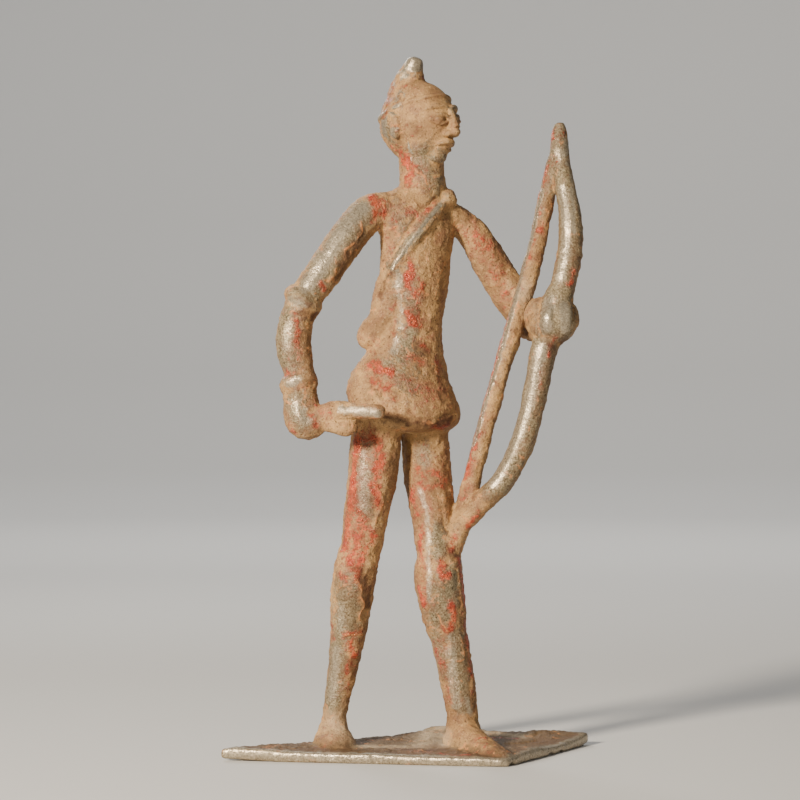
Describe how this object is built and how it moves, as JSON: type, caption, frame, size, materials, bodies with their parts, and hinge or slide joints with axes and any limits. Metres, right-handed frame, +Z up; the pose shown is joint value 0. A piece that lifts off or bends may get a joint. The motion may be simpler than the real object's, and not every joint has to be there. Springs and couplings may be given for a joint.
{
  "type": "hunter statuette",
  "caption": "Small cast-metal statuette of a standing hunter with a bow in the left hand, a strap and pouch, and a short rod in the right hand, on its thin cast base plate.",
  "frame": {"origin": "on the underside of the base plate, below the figure's pelvis", "axes": "+Z up; seen from -Y, the display side, with +X to the viewer's right and the bow on that side; the chest is turned about 28 degrees from -Y towards +X"},
  "size_m": [0.1064, 0.0594, 0.2003],
  "materials": {
    "patinated_metal": "worn brown patina with red pigment and bare grey metal on the high spots"
  },
  "bodies": {
    "root": {"hunter_statuette": "patinated_metal"}
  },
  "joints": []
}
